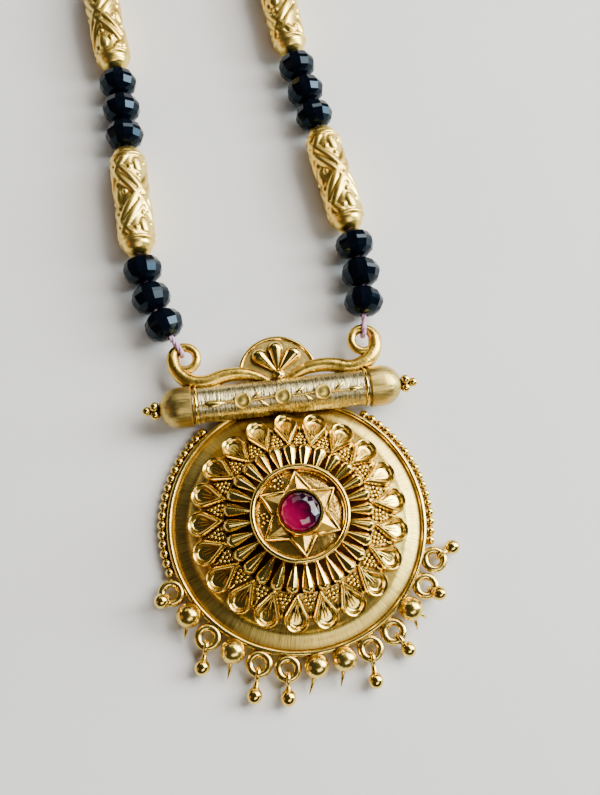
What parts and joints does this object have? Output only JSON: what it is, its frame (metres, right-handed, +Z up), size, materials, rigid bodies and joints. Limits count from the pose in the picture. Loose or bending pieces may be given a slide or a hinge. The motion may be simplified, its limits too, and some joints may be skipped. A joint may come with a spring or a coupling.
{
  "type": "mangalsutra necklace with a round pendant",
  "caption": "Long necklace laid flat: a round gold relief pendant with a red stone, a tube and a fringe, on two strings of black cut crystals and cast gold barrels.",
  "frame": {"origin": "bottom centre of the whole necklace's box, on the surface that it lies on", "axes": "+Z up from the surface, +Y from the pendant along the necklace to its clasp, +X to the right seen from above with the pendant nearest"},
  "size_m": [0.1147, 0.3123, 0.0109],
  "materials": {
    "gold": "polished gold plate over cast relief, with a brushed satin band and tube",
    "black_crystal": "opaque black cut glass, highly polished",
    "ruby": "polished red stone",
    "thread": "twisted pink thread"
  },
  "bodies": {
    "root": {"pendant": "gold", "ruby": "ruby", "crystals_left": "black_crystal", "crystals_right": "black_crystal", "thread_left": "thread", "thread_right": "thread", "clasp": "gold", "drop_1": "gold", "drop_2": "gold", "drop_3": "gold", "drop_4": "gold", "drop_5": "gold", "drop_6": "gold", "drop_7": "gold", "drop_8": "gold", "barrel_left_1": "gold", "barrel_left_2": "gold", "barrel_left_3": "gold", "barrel_left_4": "gold", "barrel_left_5": "gold", "barrel_left_6": "gold", "barrel_left_7": "gold", "barrel_left_8": "gold", "barrel_right_1": "gold", "barrel_right_2": "gold", "barrel_right_3": "gold", "barrel_right_4": "gold", "barrel_right_5": "gold", "barrel_right_6": "gold", "barrel_right_7": "gold", "barrel_right_8": "gold"}
  },
  "joints": []
}
